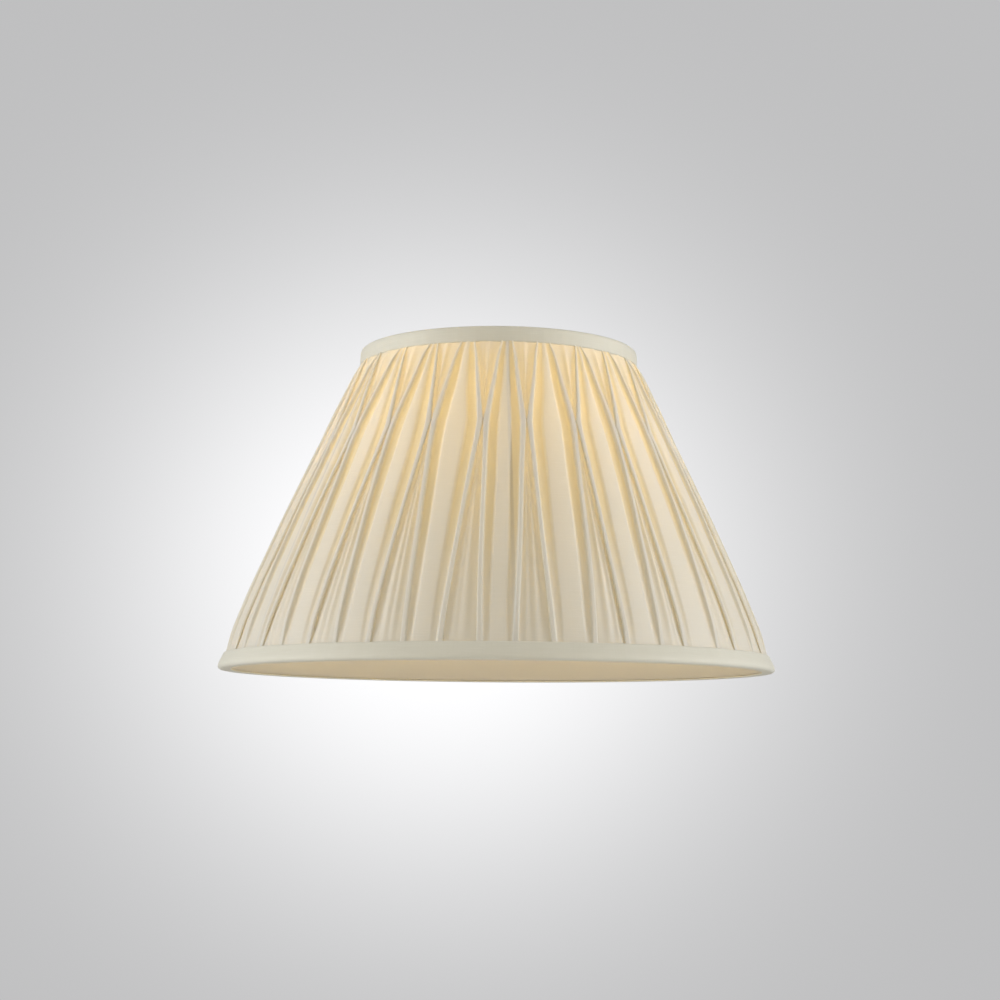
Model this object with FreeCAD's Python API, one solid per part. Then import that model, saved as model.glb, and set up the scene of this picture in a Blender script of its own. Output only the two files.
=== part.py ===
"""Tapered lamp shade with pinch pleats: fabric on a wire frame, with a tilting gimbal fitter.

Millimetres. The origin is the centre of the bottom rim's plane, and +Z is up. Azimuths
are in degrees from the front (-Y), positive towards +X.
"""

import FreeCAD
import Part
import math
import os

V = FreeCAD.Vector

# Rim line: the straight taper from the outer bottom edge to the outer top edge.
HEIGHT = 238.0
BOTTOM_R = 203.0
TOP_R = 103.0

# Trims, bias bindings that cover the rims.
TRIM_HEIGHT = 11.8
TRIM_WALL = 1.0
BOTTOM_TRIM_INNER_R = 192.2
TOP_TRIM_INNER_R = 90.8

# Fabric. The cover's inset is how far it lies inside the rim line at each height.
COVER_WALL = 1.5
COVER_INSET = (
    (2.0, 1.0),
    (13.0, 0.7),
    (30.0, -0.9),
    (60.0, -1.6),
    (110.0, -0.6),
    (160.0, 2.2),
    (210.0, 3.0),
    (221.0, 3.1),
    (226.5, 5.9),
    (235.5, 2.5),
)
LINING_WALL = 0.7
LINING_BOTTOM = (192.7, 1.3)
LINING_TOP = (91.1, 236.7)

# Wire frame.
RING_WIRE_R = 1.6
TAPE_R = 2.1
BOTTOM_RING_R = 196.3
BOTTOM_RING_Z = 3.7
TOP_RING_R = 97.7
TOP_RING_Z = HEIGHT - 3.7
STRUT_WIRE_R = 1.5
STRUT_COUNT = 6
STRUT_AZIMUTH = 3.6
WELD = 0.2
WIRE_PASSAGE = 0.35

# Fitter, recessed below the top rim. Its pivot axis runs along X.
PIVOT_Z = HEIGHT - 28.0
BAND_R = 42.0
BAND_WALL = 1.2
BAND_HEIGHT = 8.0
SPOKE_COUNT = 4
SPOKE_TURN = 15.0
EAR_IN = 38.6
STRAP_WALL = 1.2
STRAP_HALF_WIDTH = 5.0
STRAP_DROP = 21.5
STRAP_BEND_X = 32.5
STRAP_BEND_Z = -6.5
PLATE_R = 29.0
PLATE_HOLE_R = 21.0
RIVET_R = 1.5
RIVET_HEAD_R = 3.0
RIVET_HEAD = 1.4
RIVET_PLAY = 0.06
WASHER_R = 3.6
WASHER_WALL = 1.2
GAP = 0.3

# Reducer ring, from the 42 mm hole to a 29 mm lampholder.
REDUCER_FLANGE_R = 25.5
REDUCER_FLANGE = 2.0
REDUCER_DEPTH = 4.0
REDUCER_WEB = 3.0
REDUCER_BORE_R = 14.5
REDUCER_WALL = 1.5

# Pinch pleats: the front nine lie where the hand that stitched them put them.
PLEAT_COUNT = 24
FRONT_PINCHES = (-63.5, -49.6, -34.6, -20.4, -4.4, 8.5, 24.0, 38.5, 54.0)
PINCH_Z = 167.0
STITCH_R = 0.7
STITCH_LENGTH = 5.0


def radial(azimuth, radius, z):
    """Point at an azimuth from the front, a radius and a height."""
    a = math.radians(azimuth)
    return V(radius * math.sin(a), -radius * math.cos(a), z)


def revolve(outline, axis=V(0, 0, 1)):
    """Solid of revolution of an (r, z) outline about Z, or of an (r, x) outline about X."""
    if axis.z:
        points = [V(r, 0, z) for r, z in outline]
    else:
        points = [V(x, 0, r) for r, x in outline]
    wire = Part.makePolygon(points + [points[0]])
    return Part.Face(wire).revolve(V(0, 0, 0), axis, 360)


def rod(start, end, radius):
    """Round wire between two points."""
    return Part.makeCylinder(radius, (end - start).Length, start, end - start)


def rim_line(z):
    """Radius of the rim line at a height."""
    return BOTTOM_R + (TOP_R - BOTTOM_R) * z / HEIGHT


def cover_radius(z):
    """Outer radius of the cover at a height."""
    for (z0, i0), (z1, i1) in zip(COVER_INSET, COVER_INSET[1:]):
        if z <= z1:
            return rim_line(z) - i0 - (i1 - i0) * (z - z0) / (z1 - z0)
    return rim_line(z) - COVER_INSET[-1][1]


def pleated_cover():
    """Outer cover as one plain tapered wall."""
    outer = [(rim_line(z) - inset, z) for z, inset in COVER_INSET]
    inner = [(r - COVER_WALL, z) for r, z in outer]
    return revolve(outer + inner[::-1])


def strut_azimuths():
    """Azimuth of every strut."""
    return [STRUT_AZIMUTH + 360.0 / STRUT_COUNT * i for i in range(STRUT_COUNT)]


def spoke_azimuths():
    """Azimuth of every spoke, turned so that each is clear of the struts and of the pivot."""
    first = STRUT_AZIMUTH + SPOKE_TURN
    return [first + 360.0 / SPOKE_COUNT * i for i in range(SPOKE_COUNT)]


def spoke_ends(azimuth):
    """Ends of a spoke: in the top ring and in the carrier band's wall."""
    band_r = BAND_R + BAND_WALL - WELD
    return radial(azimuth, TOP_RING_R, TOP_RING_Z), radial(azimuth, band_r, PIVOT_Z)


def strut_ends(azimuth):
    """Ends of a strut: on the bottom ring, and against the inside of the top ring."""
    top_r = TOP_RING_R - RING_WIRE_R - STRUT_WIRE_R + WELD
    start = radial(azimuth, BOTTOM_RING_R, BOTTOM_RING_Z)
    return start, radial(azimuth, top_r, TOP_RING_Z)


def lining():
    """Smooth inner lining, with a slit where each spoke comes through."""
    (r0, z0), (r1, z1) = LINING_BOTTOM, LINING_TOP
    shell = revolve([(r0, z0), (r0 + LINING_WALL, z0), (r1 + LINING_WALL, z1), (r1, z1)])
    spokes = [rod(*spoke_ends(a), STRUT_WIRE_R + WIRE_PASSAGE) for a in spoke_azimuths()]
    return shell.cut(Part.makeCompound(spokes))


def bottom_trim():
    """Binding round the bottom rim: it bulges outwards and turns under, flat below."""
    outer = [(BOTTOM_R - 0.8, 0), (BOTTOM_R, 0.8), (BOTTOM_R - 0.1, 2.5)]
    edge_r = BOTTOM_R - 4.2
    outer.append((edge_r, TRIM_HEIGHT))
    inner = [(edge_r - TRIM_WALL, TRIM_HEIGHT), (BOTTOM_R - 0.1 - TRIM_WALL, 2.5)]
    inner += [(BOTTOM_R - 1.3, TRIM_WALL), (BOTTOM_TRIM_INNER_R, TRIM_WALL)]
    return revolve([(BOTTOM_TRIM_INNER_R, 0)] + outer + inner)


def top_trim():
    """Binding round the top rim: an upright band that turns over the edge."""
    edge_z = HEIGHT - TRIM_HEIGHT + 0.3
    outer = [(TOP_R - 0.8, HEIGHT), (TOP_R, HEIGHT - 0.8), (TOP_R + 0.3, edge_z)]
    inner = [(TOP_R + 0.3 - TRIM_WALL, edge_z), (TOP_R - TRIM_WALL, HEIGHT - TRIM_WALL)]
    inner.append((TOP_TRIM_INNER_R, HEIGHT - TRIM_WALL))
    return revolve([(TOP_TRIM_INNER_R, HEIGHT)] + outer + inner)


def ring_tape(radius, z, azimuths):
    """Cotton tape wound round a ring wire in lengths between the wires welded to it."""
    centre = V(radius, 0, z)
    circles = [Part.makeCircle(r, centre, V(0, 1, 0)) for r in (TAPE_R, RING_WIRE_R - 0.05)]
    section = Part.Face([Part.Wire(circle) for circle in circles])
    half_gap = math.degrees((STRUT_WIRE_R + WIRE_PASSAGE) / radius)
    lengths = []
    for start, end in zip(azimuths, azimuths[1:] + [azimuths[0] + 360.0]):
        tube = section.revolve(V(0, 0, 0), V(0, 0, 1), end - start - 2 * half_gap)
        tube.rotate(V(0, 0, 0), V(0, 0, 1), start + half_gap - 90.0)
        lengths.append(tube)
    return Part.makeCompound(lengths)


def carrier_band():
    """Flat band that the gimbal hangs in."""
    base = V(0, 0, PIVOT_Z - BAND_HEIGHT / 2)
    outer = Part.makeCylinder(BAND_R + BAND_WALL, BAND_HEIGHT, base)
    band = outer.cut(Part.makeCylinder(BAND_R, BAND_HEIGHT, base))
    return band.cut(pivot_rod(RIVET_R - 0.05, BAND_R + 5))


def pivot_rod(radius, half_length):
    """Cylinder along the gimbal's pivot axis."""
    return Part.makeCylinder(radius, 2 * half_length, V(-half_length, 0, PIVOT_Z), V(1, 0, 0))


def on_pivot(outline, side):
    """Solid turned about the pivot axis from an (r, x) outline, on one side (+1 or -1)."""
    turned = revolve([(r, side * x) for r, x in outline], V(1, 0, 0))
    turned.translate(V(0, 0, PIVOT_Z))
    return turned


def rivet(side):
    """Pivot rivet through the strap's ear, the washer and the band."""
    inner = EAR_IN - GAP
    outer = BAND_R + BAND_WALL - WELD
    outline = [(0, inner - RIVET_HEAD), (RIVET_HEAD_R, inner - RIVET_HEAD)]
    outline += [(RIVET_HEAD_R, inner), (RIVET_R, inner), (RIVET_R, outer)]
    outline += [(RIVET_HEAD_R, outer), (RIVET_HEAD_R, outer + RIVET_HEAD)]
    outline.append((0, outer + RIVET_HEAD))
    return on_pivot(outline, side)


def washer(side):
    """Spacer between the strap's ear and the band."""
    near = EAR_IN + STRAP_WALL + GAP
    far = near + WASHER_WALL
    hole = RIVET_R - 0.05
    return on_pivot([(hole, near), (WASHER_R, near), (WASHER_R, far), (hole, far)], side)


def gimbal_strap():
    """Bent strap with a round plate that takes the lampholder."""
    ear_out = EAR_IN + STRAP_WALL
    plate_top = STRAP_WALL - STRAP_DROP
    outer = [(ear_out, 0), (ear_out, STRAP_BEND_Z), (STRAP_BEND_X, -STRAP_DROP)]
    inner = [(STRAP_BEND_X - 0.6, plate_top), (EAR_IN, STRAP_BEND_Z - 0.3), (EAR_IN, 0)]
    left_outer = [(-x, z) for x, z in outer[::-1]]
    left_inner = [(-x, z) for x, z in inner[::-1]]
    outline = outer + left_outer + left_inner + inner
    points = [V(x, -STRAP_HALF_WIDTH, z + PIVOT_Z) for x, z in outline]
    strap = Part.Face(Part.makePolygon(points + [points[0]]))
    strap = strap.extrude(V(0, 2 * STRAP_HALF_WIDTH, 0))
    plate_z = PIVOT_Z - STRAP_DROP
    strap = strap.fuse(Part.makeCylinder(PLATE_R, STRAP_WALL, V(0, 0, plate_z)))
    for start in (EAR_IN, -ear_out):
        ear = Part.makeCylinder(STRAP_HALF_WIDTH, STRAP_WALL, V(start, 0, PIVOT_Z), V(1, 0, 0))
        strap = strap.fuse(ear)
    strap = strap.cut(Part.makeCylinder(PLATE_HOLE_R, 10, V(0, 0, plate_z - 5)))
    strap = strap.cut(pivot_rod(RIVET_R + RIVET_PLAY, BAND_R))
    return strap.removeSplitter()


def reducer_ring():
    """Plastic ring that rests in the plate's hole and narrows it to the lampholder."""
    seat = PIVOT_Z - STRAP_DROP + STRAP_WALL
    foot = seat - REDUCER_DEPTH
    top = seat + REDUCER_FLANGE
    spigot_r = PLATE_HOLE_R - RIVET_PLAY
    outline = [(REDUCER_FLANGE_R, top), (REDUCER_FLANGE_R, seat), (spigot_r, seat)]
    outline += [(spigot_r, foot), (REDUCER_BORE_R, foot), (REDUCER_BORE_R, foot + REDUCER_WEB)]
    outline += [(spigot_r - REDUCER_WALL, foot + REDUCER_WEB), (spigot_r - REDUCER_WALL, top)]
    return revolve(outline)


def pinch_azimuths():
    """Azimuth of every pinch: the front ones, then the rest evenly round the back."""
    first, last = FRONT_PINCHES[0] + 360.0, FRONT_PINCHES[-1]
    rest = PLEAT_COUNT - len(FRONT_PINCHES)
    step = (first - last) / (rest + 1)
    return list(FRONT_PINCHES) + [last + step * (i + 1) for i in range(rest)]


def pinch_stitches():
    """One tack of thread across each pinch."""
    radius = cover_radius(PINCH_Z) + GAP + 0.1 + STITCH_R
    tacks = []
    for azimuth in pinch_azimuths():
        a = math.radians(azimuth)
        across = V(math.cos(a), math.sin(a), 0)
        middle = radial(azimuth, radius, PINCH_Z)
        start = middle - across * (STITCH_LENGTH / 2)
        tacks.append(rod(start, start + across * STITCH_LENGTH, STITCH_R))
    return Part.makeCompound(tacks)


def nodes():
    """Every node's name and shape."""
    made = {
        "bottom_ring": Part.makeTorus(BOTTOM_RING_R, RING_WIRE_R, V(0, 0, BOTTOM_RING_Z)),
        "top_ring": Part.makeTorus(TOP_RING_R, RING_WIRE_R, V(0, 0, TOP_RING_Z)),
        "bottom_tape": ring_tape(BOTTOM_RING_R, BOTTOM_RING_Z, strut_azimuths()),
        "top_tape": ring_tape(TOP_RING_R, TOP_RING_Z, sorted(strut_azimuths() + spoke_azimuths())),
        "carrier_band": carrier_band(),
        "gimbal_strap": gimbal_strap(),
        "reducer_ring": reducer_ring(),
        "rivet_right": rivet(1),
        "rivet_left": rivet(-1),
        "washer_right": washer(1),
        "washer_left": washer(-1),
        "lining": lining(),
        "pleated_cover": pleated_cover(),
        "bottom_trim": bottom_trim(),
        "top_trim": top_trim(),
        "pinch_stitches": pinch_stitches(),
    }
    for i, azimuth in enumerate(strut_azimuths()):
        made[f"strut_{i + 1}"] = rod(*strut_ends(azimuth), STRUT_WIRE_R)
    for i, azimuth in enumerate(spoke_azimuths()):
        made[f"spoke_{i + 1}"] = rod(*spoke_ends(azimuth), STRUT_WIRE_R)
    return made


os.makedirs("parts", exist_ok=True)
for name, shape in nodes().items():
    shape.exportStep(f"parts/{name}.step")
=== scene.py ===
"""Tapered pinch-pleated lamp shade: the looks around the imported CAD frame.

Shapes are worked out in millimetres in the row frame and scaled to metres when a mesh is
made. Azimuths are degrees from the front (-Y), positive towards +X.
"""

import math

import bpy
import numpy as np
from mathutils import Matrix, Vector


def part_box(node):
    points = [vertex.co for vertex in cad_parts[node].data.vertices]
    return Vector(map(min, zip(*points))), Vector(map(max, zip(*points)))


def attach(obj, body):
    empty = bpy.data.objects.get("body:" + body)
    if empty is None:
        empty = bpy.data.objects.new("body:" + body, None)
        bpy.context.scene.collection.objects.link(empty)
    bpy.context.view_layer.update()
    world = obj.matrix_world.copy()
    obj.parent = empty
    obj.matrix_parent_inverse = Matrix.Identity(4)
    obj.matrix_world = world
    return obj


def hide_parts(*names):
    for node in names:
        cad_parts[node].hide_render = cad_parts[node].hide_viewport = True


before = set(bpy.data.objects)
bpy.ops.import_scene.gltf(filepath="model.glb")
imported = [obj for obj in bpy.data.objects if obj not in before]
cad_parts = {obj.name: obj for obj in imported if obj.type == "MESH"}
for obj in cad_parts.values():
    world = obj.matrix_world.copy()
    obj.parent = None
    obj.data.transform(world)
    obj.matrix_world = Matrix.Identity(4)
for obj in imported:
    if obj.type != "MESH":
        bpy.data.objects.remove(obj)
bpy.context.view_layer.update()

MM = 0.001

# Sizes of the frame.
BOTTOM_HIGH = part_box("bottom_trim")[1]
TOP_LOW, TOP_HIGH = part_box("top_trim")
BOTTOM_R = BOTTOM_HIGH[0] / MM
TOP_R = 103.0
HEIGHT = TOP_HIGH[2] / MM
TRIM_TOP = BOTTOM_HIGH[2] / MM
TRIM_FOOT = TOP_LOW[2] / MM
TAPER = math.atan2(BOTTOM_R - TOP_R, HEIGHT)
PINCH_Z = sum(corner[2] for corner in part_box("pinch_stitches")) / 2 / MM
STRUT_AZIMUTH = 3.6
STRUT_PITCH = 60.0

# Crest of the pleats: radius against height.
CREST = (
    (3.0, 200.4),
    (11.8, 197.2),
    (30.0, 192.0),
    (60.0, 180.2),
    (110.0, 158.3),
    (160.0, 134.9),
    (205.0, 114.4),
    (219.0, 108.2),
    (226.0, 103.6),
    (229.0, 101.9),
    (236.0, 101.6),
)
CREST_BLUR = 1.8

# Front pleats as they were sewn: pinch, fold edges at the top and at the bottom, and where
# the main gather runs across the floor below the pinch (-1 left edge, 1 right edge).
FRONT_PLEATS = (
    (-63.5, -68.8, -57.6, -67.2, -63.0, -0.3),
    (-49.6, -54.9, -42.9, -53.4, -47.6, -0.4),
    (-34.6, -38.9, -28.4, -38.7, -33.1, -0.35),
    (-20.4, -24.0, -14.9, -24.4, -18.2, -0.15),
    (-4.4, -9.1, 1.2, -10.1, -3.7, 0.15),
    (8.5, 5.6, 15.0, 4.2, 10.2, 0.15),
    (24.0, 20.6, 31.4, 19.5, 25.0, -0.05),
    (38.5, 34.8, 45.6, 34.0, 38.8, -0.1),
    (54.0, 50.4, 62.0, 49.8, 55.4, 0.1),
)
PLEAT_COUNT = 24
COVER_FOOT = 4.0
COVER_HEAD = 234.0

# Step from the last column of the cloth map to the first.
SEAM_GAP = 0.5
# Gap between a pleat's two edges at the pinch, and how far an edge strays from a straight line.
PINCH_GAP = 0.12
SWAY = 0.35
# Depth of a pleat's floor where the pleat is shut, and where the cloth passes under a band.
SHUT_DEPTH = 1.3
UNDER_DEPTH = 1.85

rng = np.random.default_rng(24)


def smooth_step(x):
    """0 to 1 with soft ends, for x from 0 to 1."""
    x = np.clip(x, 0.0, 1.0)
    return x * x * (3.0 - 2.0 * x)


def crest_radius(z):
    """Crest radius at a height, with the corners of its outline rounded."""
    heights, radii = zip(*CREST)
    shifts = (-2, -1, 0, 1, 2)
    return sum(np.interp(z + k * CREST_BLUR, heights, radii) for k in shifts) / len(shifts)


def round_about(azimuth, radius, z):
    """Points, in mm, at azimuths (radians), radii and heights."""
    azimuth, radius, z = np.broadcast_arrays(azimuth, radius, z)
    return np.stack([radius * np.sin(azimuth), -radius * np.cos(azimuth), z], axis=-1)


def mesh_object(name, points, faces):
    """An object with a smooth-shaded mesh, from points in mm and faces."""
    mesh = bpy.data.meshes.new(name)
    mesh.from_pydata((points * MM).tolist(), [], faces)
    mesh.polygons.foreach_set("use_smooth", [True] * len(mesh.polygons))
    mesh.update()
    piece = bpy.data.objects.new(name, mesh)
    bpy.context.scene.collection.objects.link(piece)
    return piece


def ring_mesh(name, points, inward=False, cloth=None):
    """Mesh from rows x columns of points in mm. The last column joins the first."""
    rows, cols = points.shape[:2]
    index = np.arange(rows * cols).reshape(rows, cols)
    right = np.roll(index, -1, axis=1)
    quads = np.stack([index[:-1], right[:-1], right[1:], index[1:]], axis=-1).reshape(-1, 4)
    if inward:
        quads = quads[:, ::-1]
    piece = mesh_object(name, points.reshape(-1, 3), quads.tolist())
    if cloth is not None:
        set_cloth_map(piece.data, cloth.reshape(-1, 2) * MM, quads)
    return piece


def set_cloth_map(mesh, flat, quads):
    """UV map of where each corner lies on the flat cloth, in metres, carried on past the seam."""
    spots = flat[quads]
    across = spots[:, :, 0]
    width = flat[:, 0].max() + SEAM_GAP * MM
    at_seam = across.max(axis=1) - across.min(axis=1) > width / 2
    past_seam = at_seam[:, None] & (across < width / 2)
    spots[:, :, 0] += np.where(past_seam, width, 0.0)
    mesh.uv_layers.new(name="cloth").data.foreach_set("uv", spots.reshape(-1))


def place(piece, material, node):
    """Gives a piece its material and puts it on the shade in place of a CAD solid."""
    piece.data.materials.append(material)
    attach(piece, "shade")
    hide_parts(node)


# Pleated cover ---------------------------------------------------------------------------


def all_pleats():
    """The front pleats, then the rest evenly round the back with the same hand-made drift."""
    pleats = [list(p) for p in FRONT_PLEATS]
    first, last = pleats[0][0] + 360.0, pleats[-1][0]
    rest = PLEAT_COUNT - len(pleats)
    step = (first - last) / (rest + 1)
    for i in range(rest):
        pinch = last + step * (i + 1) + rng.uniform(-0.5, 0.5)
        top = pinch + rng.uniform(-0.6, 1.2)
        foot = pinch + rng.uniform(-1.6, 0.4)
        top_half, foot_half = rng.uniform(4.9, 5.6), rng.uniform(2.7, 3.2)
        gather = rng.uniform(-0.4, 0.3)
        edges = (top - top_half, top + top_half, foot - foot_half, foot + foot_half)
        pleats.append([pinch, *edges, gather])
    return [(*np.radians(p[:5]), p[5]) for p in pleats]


PLEATS = all_pleats()


def cover_heights():
    """Row heights: close together at the pinches and where the trims press the cloth down."""
    lower = np.concatenate([np.linspace(COVER_FOOT, 20, 6), np.linspace(26, 152, 20)])
    pinch = np.linspace(156, 178, 14)
    upper = np.concatenate([np.linspace(182, 214, 8), np.linspace(217, COVER_HEAD, 8)])
    return np.concatenate([lower, pinch, upper])


def fold_line(z, z0, a0, z1, a1):
    """Azimuth along a straight line drawn on the cone between two points of a fold."""
    slope = math.sin(TAPER)
    far = crest_radius(np.array([z0, z1])) / slope
    x0, y0 = far[0] * math.cos(a0 * slope), far[0] * math.sin(a0 * slope)
    x1, y1 = far[1] * math.cos(a1 * slope), far[1] * math.sin(a1 * slope)
    share = (crest_radius(z) / slope - far[0]) / (far[1] - far[0])
    return np.arctan2(y0 + share * (y1 - y0), x0 + share * (x1 - x0)) / slope


def fold_edges(z, pleat):
    """Azimuths of a pleat's folded edges by height: apart at the rims, together at the pinch."""
    pinch, top_left, top_right, foot_left, foot_right = pleat[:5]
    touch = PINCH_GAP / 2 / crest_radius(np.array([PINCH_Z]))[0]
    edges = []
    for side, top, foot in ((-1, top_left, foot_left), (1, top_right, foot_right)):
        meet = pinch + side * touch
        upper = fold_line(z, PINCH_Z, meet, TRIM_FOOT, top)
        lower = fold_line(z, PINCH_Z, meet, TRIM_TOP, foot)
        edge = np.where(z > PINCH_Z, upper, lower)
        sway = np.sin(z / rng.uniform(22, 34) + rng.uniform(0, 6.3))
        sway = sway * smooth_step(abs(z - PINCH_Z) / 40)
        edges.append(edge + side * SWAY * sway / crest_radius(z))
    return edges


def band_width(z):
    """Width of the doubled band behind each folded edge."""
    heights = (12, 60, 110, 150, PINCH_Z, 180, 198, 212, 226)
    return np.interp(z, heights, (3.9, 3.2, 2.8, 3.3, 4.0, 3.2, 2.5, 1.7, 1.1))


def hollow_width(z):
    """Width of the hollow between a band and the panel beside it."""
    heights = (12, 40, 110, PINCH_Z, 195, 212, 226)
    return np.interp(z, heights, (1.6, 2.8, 4.4, 4.8, 4.2, 3.0, 1.5))


def hollow_depth(z):
    """Depth of that hollow."""
    return np.interp(z, (12, 40, 90, PINCH_Z, 200, 226), (1.3, 1.8, 2.2, 2.5, 2.2, 1.2))


def gathers(main):
    """Soft ridges down a pleat's floor, below and above the pinch.

    Each is its place from -1 to 1, its half width and its share of the floor's depth.
    """
    second = main - math.copysign(rng.uniform(0.5, 0.75), main)
    below = [(main, rng.uniform(0.24, 0.3), 0.9)]
    below.append((second, rng.uniform(0.18, 0.24), rng.uniform(0.45, 0.75)))
    above = [(rng.uniform(-0.15, 0.15), rng.uniform(0.2, 0.27), rng.uniform(0.75, 0.9))]
    if rng.random() < 0.6:
        above.append((rng.choice((-0.55, 0.55)), 0.15, rng.uniform(0.3, 0.5)))
    return below, above


def floor_depth(z, across, opening, ridges):
    """Heights of a pleat's floor against the crest, as it is below the pinch and above it.

    across runs from -1 to 1 between the folded edges.
    """
    deepest = np.interp(z, (12, 60, 110, PINCH_Z, 200, 226), (1.6, 2.0, 2.4, 2.6, 2.4, 1.9))
    depths = []
    for group, full in zip(ridges, (6.0, 5.0)):
        rise = sum(h * np.exp(-(((across - p) / w) ** 2)) for p, w, h in group)
        depth = deepest * (1.0 - np.minimum(rise, 1.0) * smooth_step(opening / full))
        depths.append(-SHUT_DEPTH - (depth - SHUT_DEPTH) * smooth_step(opening / 4.0))
    return depths


# Half a section of a pleat runs from the middle of its floor under the band, back round the
# folded edge and over the band, down into the hollow beside it and up onto the panel. Each part
# gives offsets from the folded edge, positive towards the panel, and heights against the crest.
# There is one row per height.

# How the cloth lies at each column, for its material: 0.5 on the floor, -1 on the raised band,
# 1 in the hollow and 0 on the panel. The material paints shade into the hollows and light onto
# the raised band by it.
FLOOR_LIE = (0.5,) * 10
FOLD_LIE = (0.0,) * 4 + (-1.0,) * 11
HOLLOW_LIE = (0.0, 0.8, 1.0, 1.0, 1.0, 0.9, 0.6, 0.3, 0.1, 0.0, 0.0, 0.0)
HALF_LIE = np.array(FLOOR_LIE + FOLD_LIE + HOLLOW_LIE)


def floor_part(z, opening, ridges, side):
    """A pleat's floor, from its middle to under the band."""
    f = np.array([0, 0.12, 0.24, 0.36, 0.48, 0.6, 0.72, 0.82, 0.91, 1.0])
    below, above = floor_depth(z, side * f * np.ones_like(z), opening, ridges)
    d = np.where(z > PINCH_Z, above, below)
    d = d + (-UNDER_DEPTH - d) * smooth_step((f - 0.78) / 0.22)
    return -opening * (1 - f), d


def fold_part(z, band):
    """The hidden fold under the band's far edge, the folded edge, and the band itself."""
    size = np.minimum(1.0, band / 2.8)
    gripped = np.exp(-(((z - PINCH_Z) / 5.0) ** 2))
    a = np.radians([-70, -20, 30, 75])
    hidden_s = band - 0.6 * size + 0.4 * size * np.cos(a)
    hidden_d = -1.4 + 0.35 * size * np.sin(a)
    edge_s = band * np.array([0.3, 0.1, 0.02, 0.0])
    edge_d = np.array([-0.95, -0.9, -0.7, -0.35]) * (1 - 0.6 * gripped)
    band_s = band * np.array([0.05, 0.14, 0.28, 0.5, 0.72, 0.86, 0.95])
    band_d = np.array([0.35, 0.85, 0.95, 0.9, 0.95, 0.85, 0.35]) * size * (1 - 0.3 * gripped)
    s = np.concatenate([hidden_s, edge_s, band_s], axis=1)
    return s, np.concatenate([hidden_d, edge_d, band_d], axis=1)


def hollow_part(z, band, panel):
    """The drop behind the band, the hollow, the roll up onto the panel, and the panel's half."""
    room = np.maximum(panel - band, 0.5)
    width = np.minimum(hollow_width(z), 0.4 * room)
    deep = -hollow_depth(z) * smooth_step(room / 5.0)
    drop = np.minimum(1.1, 0.2 * room)
    drop_s = band + drop * np.array([0.03, 0.35, 1.05])
    drop_d = deep * np.array([0.25, 0.75, 1.0])
    start = band + 1.15 * drop
    hollow_s = start + width * np.array([0.4, 0.8])
    hollow_d = deep * np.array([1.0, 0.97])
    rise = np.minimum(2.4, 0.25 * room)
    roll_s = start + width + rise * np.array([0.1, 0.35, 0.6, 0.85, 1.1])
    roll_d = deep + (-0.3 - deep) * np.array([0.15, 0.47, 0.77, 0.94, 1.0])
    rest = panel - start - width - 1.1 * rise
    panel_s = panel - rest * np.array([0.6, 0.0])
    panel_d = np.array([-0.15, -0.05]) * np.ones_like(z)
    s = np.concatenate([drop_s, hollow_s, roll_s, panel_s], axis=1)
    return s, np.concatenate([drop_d, hollow_d, roll_d, panel_d], axis=1)


def half_section(z, opening, panel, ridges, side):
    """Offsets and heights from the middle of a pleat's floor to the middle of the panel."""
    band = np.minimum(band_width(z), 0.6 * panel)[:, None]
    opening, panel, z = opening[:, None], panel[:, None], z[:, None]
    parts = (floor_part(z, opening, ridges, side), fold_part(z, band), hollow_part(z, band, panel))
    return [np.concatenate(columns, axis=1) for columns in zip(*parts)]


def pleat_section(z, edges, before, after, ridges):
    """Azimuths and depths across one pleat, from the middle of one panel to that of the next."""
    radius = crest_radius(z)
    opening = (edges[1] - edges[0]) / 2 * radius
    left_panel = (edges[0] - before) / 2 * radius
    right_panel = (after - edges[1]) / 2 * radius
    left_s, left_d = half_section(z, opening, left_panel, ridges, -1)
    right_s, right_d = half_section(z, opening, right_panel, ridges, 1)
    left_a = edges[0][:, None] - left_s / radius[:, None]
    right_a = edges[1][:, None] + right_s / radius[:, None]
    azimuth = np.concatenate([left_a[:, ::-1], right_a[:, 1:-1]], axis=1)
    depth = np.concatenate([left_d[:, ::-1], right_d[:, 1:-1]], axis=1)
    return azimuth, depth


def pressed(z):
    """How much of the pleats' relief is left where the trims hold the cloth down."""
    foot = 0.42 + 0.58 * smooth_step((z - TRIM_TOP + 1) / 16)
    head = 0.38 + 0.62 * smooth_step((TRIM_FOOT + 1 - z) / 12)
    return foot * head


def puckers(azimuth, z):
    """Slight unevenness of hand-sewn cloth, in mm."""
    total = np.zeros_like(azimuth)
    for _ in range(9):
        turns = rng.integers(9, 70)
        rate = rng.uniform(-0.11, 0.11)
        total += np.sin(turns * azimuth + rate * z + rng.uniform(0, 6.3))
    return 0.055 * total


def pinch_dimple(azimuth, z):
    """Depth that the stitches pull each pinch down, in mm."""
    total = np.zeros_like(azimuth)
    for pleat in PLEATS:
        away = (azimuth - pleat[0] + np.pi) % (2 * np.pi) - np.pi
        along = away * crest_radius(z)
        total += np.exp(-((along / 1.9) ** 2) - ((z - PINCH_Z) / 2.6) ** 2)
    return 0.5 * total


def strut_ridge(azimuth, radius):
    """Height of the slight ridge where the cloth is drawn over a strut, in mm."""
    pitch = math.radians(STRUT_PITCH)
    away = (azimuth - math.radians(STRUT_AZIMUTH) + pitch / 2) % pitch - pitch / 2
    return 0.5 * np.exp(-(((away * radius - 1.7) / 1.1) ** 2))


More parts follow.
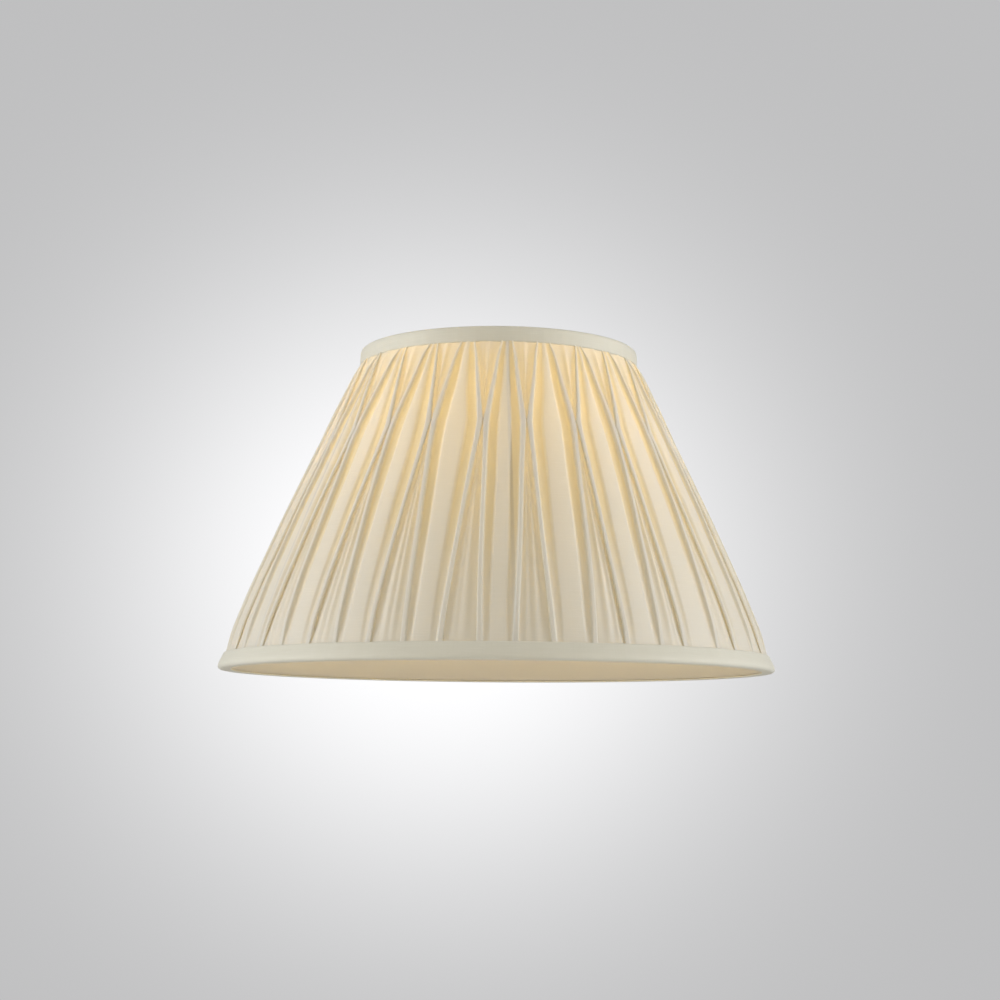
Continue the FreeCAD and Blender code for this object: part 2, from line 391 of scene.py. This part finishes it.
def cover_sections(z):
    """Azimuths and depths of all the pleats side by side, at each height."""
    edges = [fold_edges(z, pleat) for pleat in PLEATS]
    turn = 2 * np.pi
    sections = []
    for i, pair in enumerate(edges):
        before = edges[i - 1][1] - (turn if i == 0 else 0)
        after = edges[(i + 1) % PLEAT_COUNT][0] + (turn if i == PLEAT_COUNT - 1 else 0)
        sections.append(pleat_section(z, pair, before, after, gathers(PLEATS[i][5])))
    return [np.concatenate(columns, axis=1) for columns in zip(*sections)]


def cover_points():
    """Points over the whole cover, flat cloth coordinates in mm, and how the cloth lies."""
    heights = cover_heights()
    azimuth, depth = cover_sections(heights)
    z = heights[:, None] * np.ones_like(azimuth)
    radius = crest_radius(z) + depth * pressed(z) + puckers(azimuth, z) * pressed(z)
    radius += strut_ridge(azimuth, radius) - pinch_dimple(azimuth, z)
    points = round_about(azimuth, radius, z)
    steps = np.linalg.norm(np.diff(points, axis=1), axis=2).max(axis=0)
    across = np.concatenate([[0.0], np.cumsum(steps)])
    up = (z - COVER_FOOT) / math.cos(TAPER)
    # The painted shade and light of the folds, and the extra light through the single cloth, fade
    # towards the foot.
    fade = 0.35 + 0.65 * smooth_step((z - 10) / 110)
    lie = np.tile(np.concatenate([HALF_LIE[::-1], HALF_LIE[1:-1]]), PLEAT_COUNT) * fade
    return points, np.stack([np.broadcast_to(across, z.shape), up], axis=-1), lie


def build_cover(material):
    """The pleated cover, one strip of cloth gathered round the frame."""
    points, cloth, lie = cover_points()
    piece = ring_mesh("cover_cloth", points, cloth=cloth)
    piece.data.attributes.new("lie", "FLOAT", "POINT").data.foreach_set("value", lie.ravel())
    place(piece, material, "pleated_cover")


# Trims, lining, stitches and tapes ---------------------------------------------------------

TRIM_COLUMNS = 420
TRIM_RIPPLE = 0.025
TRIM_WAVER = 0.035
BOTTOM_TRIM_SECTION = (
    (193.2, 1.1),
    (193.3, 0.5),
    (194.2, 0.12),
    (197.0, 0.06),
    (200.2, 0.06),
    (201.8, 0.35),
    (202.7, 1.1),
    (203.0, 2.2),
    (202.8, 3.6),
    (202.1, 5.4),
    (201.2, 7.3),
    (200.1, 9.4),
    (199.3, 11.0),
    (199.0, 11.7),
    (198.6, 11.95),
    (198.2, 11.8),
    (198.1, 11.2),
    (198.9, 9.2),
    (199.9, 7.2),
)
TOP_TRIM_SECTION = (
    (91.4, 236.7),
    (91.5, 237.4),
    (92.4, 237.85),
    (96.0, 237.95),
    (100.4, 237.95),
    (102.0, 237.75),
    (102.8, 237.1),
    (103.1, 236.1),
    (103.3, 234.2),
    (103.35, 232.0),
    (103.35, 229.6),
    (103.45, 227.6),
    (103.35, 226.75),
    (103.0, 226.4),
    (102.6, 226.6),
    (102.5, 227.4),
    (102.4, 229.6),
)


def trim_points(section):
    """A binding's section carried round its rim, with the small ripples of bias-cut cloth."""
    r, z = (np.array(v)[:, None] for v in zip(*section))
    azimuth = np.linspace(0, 2 * np.pi, TRIM_COLUMNS, endpoint=False)[None, :] + np.pi
    row = np.linspace(0, 1, len(section))[:, None]
    ripple = np.zeros((len(section), TRIM_COLUMNS))
    waver = np.zeros((1, TRIM_COLUMNS))
    for _ in range(10):
        turns, lean = rng.integers(14, 90), rng.uniform(-5, 5)
        ripple += np.sin(turns * azimuth + lean * row + rng.uniform(0, 6.3))
        waver += np.sin(rng.integers(5, 60) * azimuth + rng.uniform(0, 6.3))
    face = np.exp(-(((row - 0.58) / 0.22) ** 2))
    turned_edge = smooth_step((row - 0.55) / 0.15)
    away_from_rim = 1.0 if section[-1][1] < HEIGHT / 2 else -1.0
    radius = r + TRIM_RIPPLE * ripple * face
    height = z + TRIM_WAVER * away_from_rim * waver * turned_edge
    path = np.concatenate([[0], np.cumsum(np.hypot(np.diff(r[:, 0]), np.diff(z[:, 0])))])
    along = (azimuth[0] - azimuth[0, 0]) * r.mean()
    cloth = np.stack(np.broadcast_arrays(along[None, :], path[:, None]), axis=-1)
    return round_about(azimuth, radius, height), cloth


def build_trim(name, node, section, material, inward):
    """One bias binding, folded over a rim with its outer edge turned under."""
    points, cloth = trim_points(section)
    piece = ring_mesh(name, points, inward, cloth)
    place(piece, material, node)


THREAD_R = 0.16
LINING_FOOT = (193.0, 1.5)
LINING_HEAD = (91.4, 236.4)
LINING_ROWS = 60
LINING_COLUMNS = 288


def lining_points():
    """The lining's cone, drawn in at each strut, with its flat cloth coordinates, in mm."""
    (r0, z0), (r1, z1) = LINING_FOOT, LINING_HEAD
    t = np.linspace(0, 1, LINING_ROWS)[:, None]
    azimuth = np.radians(np.linspace(0, 360, LINING_COLUMNS, endpoint=False))[None, :]
    radius = r0 + (r1 - r0) * t
    away = (np.degrees(azimuth) - STRUT_AZIMUTH + STRUT_PITCH / 2) % STRUT_PITCH - STRUT_PITCH / 2
    along = np.radians(away) * radius
    strut_side = 0.45 * np.exp(-((along / 5.0) ** 2)) * np.sin(np.pi * t)
    slack = 0.5 * np.sin(np.pi * t) * (1 - np.cos(np.radians(away) * 8)) / 2
    rim = np.exp(-t / 0.03) + np.exp(-(1 - t) / 0.03)
    gather = (0.12 * np.sin(61 * azimuth + 1.0) + 0.1 * np.sin(97 * azimuth)) * rim
    z = (z0 + (z1 - z0) * t) * np.ones_like(azimuth)
    slant = math.hypot(r1 - r0, z1 - z0)
    cloth = np.stack(np.broadcast_arrays(azimuth * r0, t * slant), axis=-1)
    return round_about(azimuth, radius - strut_side + slack + gather, z), cloth


def build_lining(material):
    """Smooth lining, drawn tight inside the struts."""
    points, cloth = lining_points()
    piece = ring_mesh("lining_cloth", points, True, cloth)
    place(piece, material, "lining")


def tube_points(path, radius, sides=6):
    """Rows x columns of points on a tube along a path, open at its ends."""
    path = np.array(path)
    ahead = np.gradient(path, axis=0)
    ahead /= np.linalg.norm(ahead, axis=1)[:, None]
    side = np.cross(ahead, (0.0, 0.0, 1.0))
    side /= np.linalg.norm(side, axis=1)[:, None]
    top = np.cross(side, ahead)
    a = np.linspace(0, 2 * np.pi, sides, endpoint=False)[None, :, None]
    radius = np.broadcast_to(radius, len(path))[:, None, None]
    return path[:, None, :] + radius * (np.cos(a) * side[:, None, :] + np.sin(a) * top[:, None, :])


def stitch_tubes():
    """Three thread turns across every pinch, each a tube."""
    tubes = []
    base = crest_radius(np.array([PINCH_Z]))[0] - 0.42
    t = np.linspace(-1, 1, 9)
    bow = base - 0.35 + 0.25 * (1 - t * t) - 1.2 * abs(t) ** 6
    thin = THREAD_R * (1 - 0.6 * abs(t) ** 8)
    for pleat in PLEATS:
        for turn in (-1, 0, 1):
            azimuth = pleat[0] + t * rng.uniform(0.7, 1.0) / base
            height = PINCH_Z + 0.4 * turn + rng.uniform(-0.2, 0.2) + t * rng.uniform(-0.25, 0.25)
            tubes.append(tube_points(round_about(azimuth, bow, height), thin))
    return np.array(tubes)


def build_stitches(material):
    """A tack of three thread turns across every pinch."""
    tubes = stitch_tubes()
    index = np.arange(tubes.size // 3).reshape(tubes.shape[:3])
    right = np.roll(index, -1, axis=2)
    quads = np.stack([index[:, :-1], right[:, :-1], right[:, 1:], index[:, 1:]], axis=-1)
    piece = mesh_object("pinch_thread", tubes.reshape(-1, 3), quads.reshape(-1, 4).tolist())
    place(piece, material, "pinch_stitches")


TAPE_WIDTH = 13.0


def build_tape(node, material):
    """Cotton tape wound round a ring wire, each turn lapping the last."""
    low, high = (np.array(corner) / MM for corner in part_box(node))
    thick = (high[2] - low[2]) / 2
    ring_r, z = high[0] - thick, (low[2] + high[2]) / 2
    turns = int(2 * math.pi * ring_r / (TAPE_WIDTH * 0.7))
    cols, sides = turns * 6, 10
    azimuth = np.linspace(0, 2 * np.pi, cols, endpoint=False)[None, :]
    around = np.linspace(0, 2 * np.pi, sides + 1)[:, None]
    lap = (azimuth * turns + around) / (2 * np.pi) % 1.0
    tube = thick - 0.25 + 0.22 * lap
    radius, height = ring_r + tube * np.cos(around), z + tube * np.sin(around)
    points = round_about(azimuth * np.ones_like(around), radius, height)
    cloth = np.stack([azimuth * ring_r + 0 * around, thick * around + 0 * azimuth], axis=-1)
    piece = ring_mesh(f"{node}_wound", points, cloth=cloth)
    place(piece, material, node)


# Materials ---------------------------------------------------------------------------------


class Graph:
    """A material's nodes, made in one line each."""

    def __init__(self, name):
        self.material = bpy.data.materials.new(name)
        self.material.use_nodes = True
        self.tree = self.material.node_tree
        self.tree.nodes.clear()

    def node(self, kind, settings=None, **inputs):
        """Adds a node. Inputs are named or, as i0 and i1, numbered."""
        made = self.tree.nodes.new(f"ShaderNode{kind}")
        for key, value in (settings or {}).items():
            setattr(made, key, value)
        for key, value in inputs.items():
            numbered = key[0] == "i" and key[1:].isdigit()
            self.feed(made.inputs[int(key[1:]) if numbered else key.replace("_", " ")], value)
        return made

    def feed(self, socket, value):
        """Gives a socket a plain value or another node's output."""
        if isinstance(value, bpy.types.NodeSocket):
            self.tree.links.new(value, socket)
        else:
            socket.default_value = value

    def math(self, operation, *values):
        """One Math node's output."""
        inputs = {f"i{k}": v for k, v in enumerate(values)}
        return self.node("Math", {"operation": operation}, **inputs).outputs[0]

    def noise(self, vector, scale, detail):
        """A noise texture's value."""
        return self.node("TexNoise", Vector=vector, Scale=scale, Detail=detail).outputs["Fac"]

    def stretch(self, vector, scale):
        """A vector scaled along each axis."""
        return self.node("Mapping", Vector=vector, Scale=scale).outputs["Vector"]

    def between(self, value, low, high, out_low=0.0, out_high=1.0):
        """Value mapped smoothly from one range to another."""
        settings = {"interpolation_type": "SMOOTHSTEP"}
        made = self.node("MapRange", settings, i0=value, i1=low, i2=high, i3=out_low, i4=out_high)
        return made.outputs[0]

    def blend(self, share, first, second, how="MIX"):
        """Two colours mixed."""
        made = self.node("Mix", {"data_type": "RGBA", "blend_type": how})
        for number, value in ((0, share), (6, first), (7, second)):
            self.feed(made.inputs[number], value)
        return made.outputs[2]

    def finish(self, shader):
        """Links the surface and gives back the material."""
        self.node("OutputMaterial", Surface=shader)
        return self.material


def rgb(red, green, blue):
    """A colour with full alpha."""
    return (red, green, blue, 1.0)


def plain_weave(g, cloth, pitch):
    """Height of a plain weave on cloth coordinates in metres. Threads are half a pitch apart."""
    split = g.node("SeparateXYZ", Vector=cloth)
    turns = [g.math("MULTIPLY", split.outputs[k], 2 * math.pi / pitch) for k in (0, 1)]
    return g.math("MULTIPLY", g.math("SINE", turns[0]), g.math("SINE", turns[1]))


def painted_strut_shadow(g):
    """Mask of the painted strut shadow: 1 where a strut lies behind the cloth, 0 elsewhere, softer
    on one side.
    """
    split = g.node("SeparateXYZ", Vector=g.node("TexCoord").outputs["Object"])
    across, back = split.outputs[0], split.outputs[1]
    pitch = math.radians(STRUT_PITCH)
    turn = g.math("ARCTAN2", across, g.math("MULTIPLY", back, -1.0))
    turn = g.math("ADD", turn, pitch / 2 - math.radians(STRUT_AZIMUTH) + 8 * pitch)
    away = g.math("SUBTRACT", g.math("MODULO", turn, pitch), pitch / 2)
    squares = [g.math("MULTIPLY", v, v) for v in (across, back)]
    along = g.math("MULTIPLY", away, g.math("SQRT", g.math("ADD", *squares)))
    shade = g.math("MULTIPLY", g.between(along, -0.0024, -0.0006), g.between(along, 0.0014, 0.0004))
    return g.math("MULTIPLY", shade, g.between(split.outputs[2], 0.02, 0.17, 0.35, 1.0))


def by_lie(g, colour, glow, through):
    """Pleated cloth's colour, the colour of light through it, and how much comes through.

    The single cloth of floors and hollows lets more light through than the folds do. Painted
    shade makes the hollows darker and warmer, painted light makes the raised bands paler, and
    the struts' shadows are painted into the light let through.
    """
    lie = g.node("Attribute", {"attribute_name": "lie"}).outputs["Fac"]
    through = g.between(lie, 0.0, 0.5, through, through + 0.09)
    # Painted shade: the hollows' colour is darkened and warmed.
    hollow_shade_colour = g.blend(1.0, colour, rgb(0.94, 0.89, 0.76), "MULTIPLY")
    colour = g.blend(g.between(lie, 0.5, 1.0), colour, hollow_shade_colour)
    # Painted light: the raised bands are made paler.
    colour = g.blend(g.between(lie, 0.0, -1.0, 0.0, 0.85), colour, rgb(0.975, 0.955, 0.895))
    # Painted strut shadow: the light through the cloth is darkened where a strut lies behind it.
    glow = g.blend(g.math("MULTIPLY", painted_strut_shadow(g), 0.6), glow, rgb(0.14, 0.13, 0.12))
    return colour, glow, through


def cloth_material(
    name, dark, light, glow, through, weave_pitch=0.0008, slub=0.5, pleated=False
):
    """Woven cloth: weave and slubs in the bump, uneven dye, soft sheen, and light let through.

    pleated cloth also goes by how it lies and by the struts behind it, with painted shade in its
    hollows, painted light on its raised bands and painted strut shadows.
    """
    g = Graph(name)
    cloth = g.node("UVMap", {"uv_map": "cloth"}).outputs["UV"]
    weave = plain_weave(g, cloth, weave_pitch)
    weft = g.noise(g.stretch(cloth, (45.0, 1500.0, 1.0)), 1.0, 2.0)
    warp = g.noise(g.stretch(cloth, (1500.0, 30.0, 1.0)), 1.0, 2.0)
    slubs = g.between(weft, 0.56, 0.74)
    cloudy = g.noise(g.stretch(cloth, (14.0, 9.0, 1.0)), 1.0, 4.0)
    threads = g.math("ADD", g.math("MULTIPLY", weft, 0.6), g.math("MULTIPLY", warp, 0.4))
    tone = g.math("ADD", g.math("MULTIPLY", cloudy, 0.45), g.math("MULTIPLY", threads, 0.55))
    tone = g.math("ADD", tone, g.math("MULTIPLY", slubs, 0.25 * slub))
    colour = g.blend(g.between(tone, 0.25, 0.8), dark, light)
    if pleated:
        colour, glow, through = by_lie(g, colour, glow, through)
    height = g.math("ADD", g.math("MULTIPLY", weave, 0.30), g.math("MULTIPLY", threads, 0.9))
    height = g.math("ADD", height, g.math("MULTIPLY", slubs, 0.8 * slub))
    bump = g.node("Bump", Height=height, Strength=0.55, Distance=0.00012).outputs[0]
    rough = g.between(threads, 0.3, 0.7, 0.65, 0.47)
    cover = g.node(
        "BsdfPrincipled",
        Base_Color=colour,
        Roughness=rough,
        Normal=bump,
        Sheen_Weight=0.3,
        Sheen_Roughness=0.45,
        Specular_IOR_Level=0.35,
    ).outputs[0]
    thin = g.node("BsdfTranslucent", Color=glow, Normal=bump).outputs[0]
    return g.finish(g.node("MixShader", i0=through, i1=cover, i2=thin).outputs[0])


def hard_material(name, colour, shade, metallic=0.0, rough=0.35, grain=900.0, dent=0.00004):
    """Powder coat, plating, moulded plastic or thread: a finely dented surface, a little uneven."""
    g = Graph(name)
    spot = g.node("TexCoord").outputs["Object"]
    fine, broad = g.noise(spot, grain, 2.0), g.noise(spot, 40.0, 3.0)
    mixed = g.blend(g.between(broad, 0.3, 0.7), shade, colour)
    bump = g.node("Bump", Height=fine, Strength=0.5, Distance=dent).outputs[0]
    shader = g.node(
        "BsdfPrincipled",
        Base_Color=mixed,
        Metallic=metallic,
        Roughness=g.between(broad, 0.2, 0.8, rough - 0.07, rough + 0.09),
        Normal=bump,
    ).outputs[0]
    return g.finish(shader)


def dress_frame():
    """Materials for the CAD nodes that stay: wires, fitter, rivets and reducer."""
    white = hard_material("powder_coat", rgb(0.80, 0.79, 0.75), rgb(0.72, 0.71, 0.66))
    zinc = hard_material(
        "zinc_plate",
        rgb(0.62, 0.62, 0.60),
        rgb(0.46, 0.46, 0.45),
        metallic=1.0,
        rough=0.33,
        grain=2400.0,
        dent=0.00002,
    )
    plastic = hard_material(
        "moulded_plastic", rgb(0.83, 0.82, 0.78), rgb(0.79, 0.78, 0.73), rough=0.48, grain=1500.0
    )
    for name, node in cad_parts.items():
        material = white
        if name.startswith(("rivet", "washer")):
            material = zinc
        if name == "reducer_ring":
            material = plastic
        node.data.materials.clear()
        node.data.materials.append(material)


# Stage ---------------------------------------------------------------------------------------

CAMERA_AT = (0.0018, -1.4725, -0.0602)
CAMERA_PITCH = 0.1271
CAMERA_ROLL = 0.0072
LENS = 71.9


def set_camera():
    """Camera where the photograph was taken from: just below the rim, looking slightly up."""
    data = bpy.data.cameras.new("camera")
    data.lens, data.sensor_width = LENS, 36.0
    data.clip_start, data.clip_end = 0.05, 60.0
    camera = bpy.data.objects.new("camera", data)
    turn = Matrix.Rotation(math.pi / 2 + CAMERA_PITCH, 4, "X") @ Matrix.Rotation(CAMERA_ROLL, 4, "Z")
    camera.matrix_world = Matrix.Translation(CAMERA_AT) @ turn
    bpy.context.scene.collection.objects.link(camera)
    bpy.context.scene.camera = camera


def area_light(name, at, aim, size, watts, colour):
    """A soft box at a point, facing another."""
    data = bpy.data.lights.new(name, "AREA")
    data.shape, data.size, data.energy, data.color = "DISK", size, watts, colour
    lamp = bpy.data.objects.new(name, data)
    lamp.location = at
    lamp.rotation_euler = (Vector(aim) - Vector(at)).to_track_quat("-Z", "Y").to_euler()
    bpy.context.scene.collection.objects.link(lamp)


def set_lights():
    """Soft boxes at both sides, a weak front fill, and a warm bulb inside the shade."""
    middle = (0.0, 0.0, 0.12)
    cool = (0.945, 0.985, 1.04)
    area_light("box_left", (-2.15, -0.3, 0.55), middle, 1.2, 26.5, cool)
    area_light("box_right", (2.15, -0.3, 0.55), middle, 1.2, 26.5, cool)
    area_light("box_front", (0.0, -2.6, 0.9), middle, 1.6, 12.0, (1.0, 0.96, 0.87))
    data = bpy.data.lights.new("bulb", "POINT")
    data.energy, data.color, data.shadow_soft_size = 1.05, (1.0, 0.75, 0.35), 0.03
    bulb = bpy.data.objects.new("bulb", data)
    bulb.location = (0.0, 0.0, 0.155)
    bpy.context.scene.collection.objects.link(bulb)


# The backdrop's glow: the direction of its middle and its spread each way.
GLOW_AT = (-0.031, 0.995, 0.090)
GLOW_SPREAD = (0.162, 1.0, 0.153)
GLOW_POWER = 2.2
GLOW_PEAK = 0.56
BACKDROP = 0.525
AMBIENT = 0.29


def backdrop_strength(new, link):
    """Brightness of the backdrop, which falls off smoothly from the middle of its glow."""
    toward, from_middle = new("ShaderNodeTexCoord"), new("ShaderNodeMapping")
    from_middle.vector_type = "TEXTURE"
    from_middle.inputs["Location"].default_value = GLOW_AT
    from_middle.inputs["Scale"].default_value = GLOW_SPREAD
    apart = new("ShaderNodeVectorMath")
    apart.operation = "LENGTH"
    link(toward.outputs["Generated"], from_middle.inputs["Vector"])
    link(from_middle.outputs["Vector"], apart.inputs[0])
    value = apart.outputs["Value"]
    steps = (
        ("POWER", GLOW_POWER),
        ("MULTIPLY", -1.0),
        ("EXPONENT", 0.0),
        ("MULTIPLY", GLOW_PEAK),
        ("ADD", BACKDROP),
    )
    for operation, number in steps:
        step = new("ShaderNodeMath")
        step.operation = operation
        step.inputs[1].default_value = number
        link(value, step.inputs[0])
        value = step.outputs[0]
    return value


def set_world():
    """A pale backdrop, brightest behind the shade, and an even light from all round."""
    world = bpy.data.worlds.new("studio")
    world.use_nodes = True
    tree = world.node_tree
    tree.nodes.clear()
    new, link = tree.nodes.new, tree.links.new
    seen, lit = new("ShaderNodeBackground"), new("ShaderNodeBackground")
    link(backdrop_strength(new, link), seen.inputs["Strength"])
    seen.inputs["Color"].default_value = rgb(0.99, 0.99, 1.0)
    lit.inputs["Color"].default_value = rgb(1.0, 0.955, 0.85)
    lit.inputs["Strength"].default_value = AMBIENT
    path, mix = new("ShaderNodeLightPath"), new("ShaderNodeMixShader")
    link(path.outputs["Is Camera Ray"], mix.inputs[0])
    link(lit.outputs[0], mix.inputs[1])
    link(seen.outputs[0], mix.inputs[2])
    link(mix.outputs[0], new("ShaderNodeOutputWorld").inputs[0])
    bpy.context.scene.world = world


FLOOR_Z = -0.9
FLOOR_R = 3.6


def set_floor():
    """A plain pale floor, well below the shade."""
    a = np.linspace(0, 2 * np.pi, 96, endpoint=False)[None, :]
    rings = np.array([0.02, 0.6, 1.0])[:, None] * FLOOR_R / MM
    points = round_about(a, rings, FLOOR_Z / MM)[::-1]
    floor = ring_mesh("floor", points)
    g = Graph("floor_paint")
    grain = g.noise(g.node("TexCoord").outputs["Object"], 3.0, 4.0)
    colour = g.blend(grain, rgb(0.80, 0.80, 0.80), rgb(0.84, 0.84, 0.84))
    paint = g.node("BsdfPrincipled", Base_Color=colour, Roughness=0.8).outputs[0]
    floor.data.materials.append(g.finish(paint))


# The model -----------------------------------------------------------------------------------

silk = cloth_material(
    "cover_silk",
    dark=rgb(0.88, 0.855, 0.785),
    light=rgb(0.93, 0.905, 0.845),
    glow=rgb(0.99, 0.86, 0.49),
    through=0.24,
    pleated=True,
)
bias = cloth_material(
    "trim_silk",
    dark=rgb(0.82, 0.785, 0.66),
    light=rgb(0.87, 0.835, 0.715),
    glow=rgb(0.9, 0.8, 0.6),
    through=0.06,
)
inner = cloth_material(
    "lining_cloth",
    dark=rgb(0.76, 0.745, 0.73),
    light=rgb(0.80, 0.785, 0.77),
    glow=rgb(0.95, 0.91, 0.84),
    through=0.45,
    weave_pitch=0.0006,
    slub=0.15,
)
cotton = cloth_material(
    "tape_cotton",
    dark=rgb(0.74, 0.72, 0.66),
    light=rgb(0.84, 0.82, 0.77),
    glow=rgb(0.8, 0.78, 0.7),
    through=0.1,
    weave_pitch=0.001,
    slub=0.1,
)
thread = hard_material(
    "sewing_thread", rgb(0.80, 0.76, 0.64), rgb(0.70, 0.65, 0.52), rough=0.6, grain=3000.0
)

dress_frame()
build_cover(silk)
build_lining(inner)
build_trim("bottom_binding", "bottom_trim", BOTTOM_TRIM_SECTION, bias, False)
build_trim("top_binding", "top_trim", TOP_TRIM_SECTION, bias, True)
build_stitches(thread)
build_tape("bottom_tape", cotton)
build_tape("top_tape", cotton)

set_camera()
set_lights()
set_world()
set_floor()
bpy.context.scene.view_settings.view_transform = "Standard"
